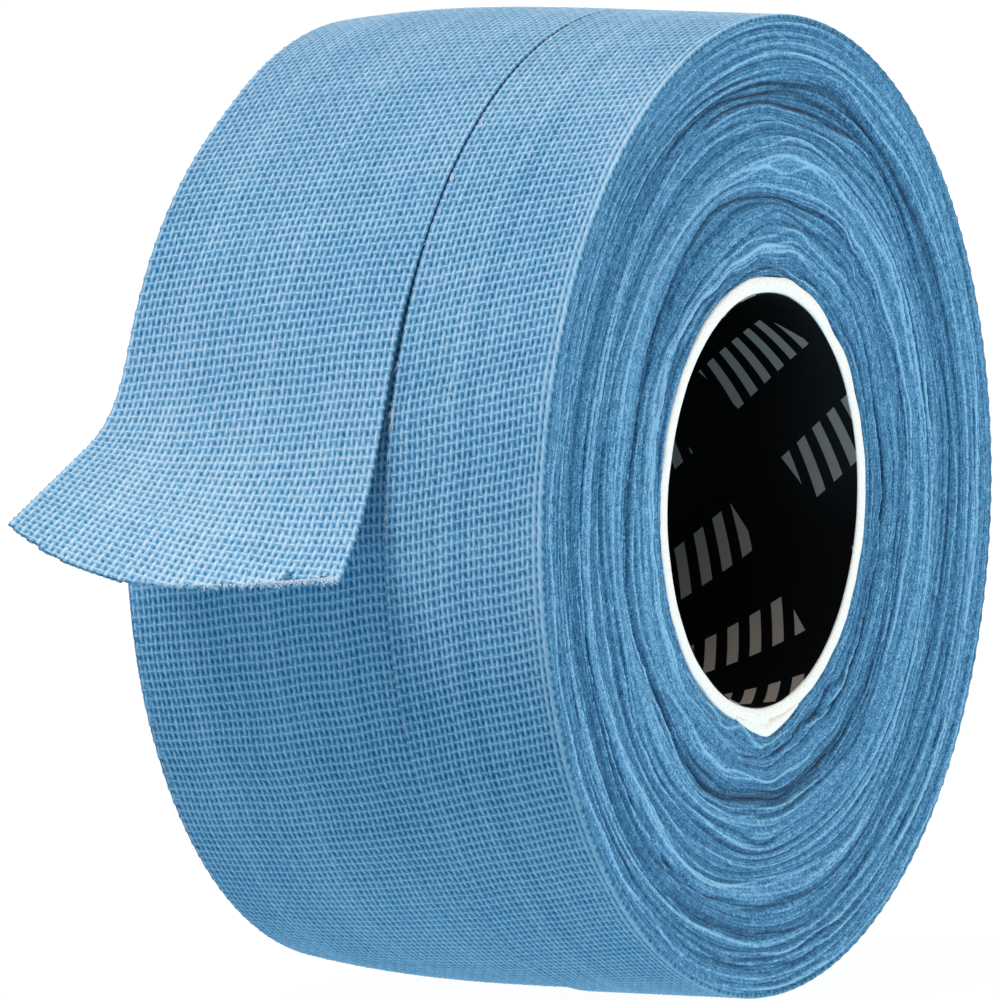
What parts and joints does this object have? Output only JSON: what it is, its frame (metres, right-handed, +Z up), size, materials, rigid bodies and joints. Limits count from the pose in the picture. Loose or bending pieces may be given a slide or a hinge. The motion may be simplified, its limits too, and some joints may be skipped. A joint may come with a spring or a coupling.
{
  "type": "cotton athletic tape roll",
  "caption": "Roll of woven cotton adhesive tape on a paper core, its outer turn slit lengthwise and the wide strip peeled into a short torn tail.",
  "frame": {"origin": "middle of the flat that the roll rests on, under its lowest turn", "axes": "+X along the roll's axis towards the end with the core's paper tab, -Y the side that the loose tail hangs on, +Z up"},
  "size_m": [0.0385, 0.0971, 0.0776],
  "materials": {
    "liner": "glossy printed black paper",
    "board": "matt white paperboard with a fibrous cut edge",
    "wound_tape": "blue cotton selvedges, matt, many fine turns",
    "tape_cloth": "blue plain woven cotton with paler raised threads",
    "tail_cloth": "the same cloth, paler where it faces the light"
  },
  "bodies": {
    "roll": {"core_printed_liner": "liner", "core_inner_ply": "board", "core_outer_ply": "board", "core_seam_tab": "board", "turns_band_1": "wound_tape", "turns_band_2": "wound_tape", "turns_band_3": "wound_tape", "turns_band_4": "wound_tape", "turns_band_5": "wound_tape", "turns_band_6": "wound_tape", "outer_full_turn": "tape_cloth", "slit_narrow_strip": "tape_cloth", "slit_wide_strip": "tape_cloth"},
    "tail_root": {"tail_root_cloth": "tail_cloth"},
    "tail_tip": {"tail_tip_cloth": "tail_cloth"}
  },
  "joints": [
    {"name": "tail_peel", "type": "hinge", "parent": "roll", "child": "tail_root", "pos_m": [-0.00715, -0.03196, 0.062], "axis": [-1, 0, 0], "range_deg": [0, 100], "stiffness_Nm_per_rad": 0.001},
    {"name": "tail_curl", "type": "hinge", "parent": "tail_root", "child": "tail_tip", "pos_m": [-0.00715, -0.04015, 0.04736], "axis": [-0.9949, -0.0855, 0.0529], "range_deg": [-20, 60], "stiffness_Nm_per_rad": 0.001}
  ]
}
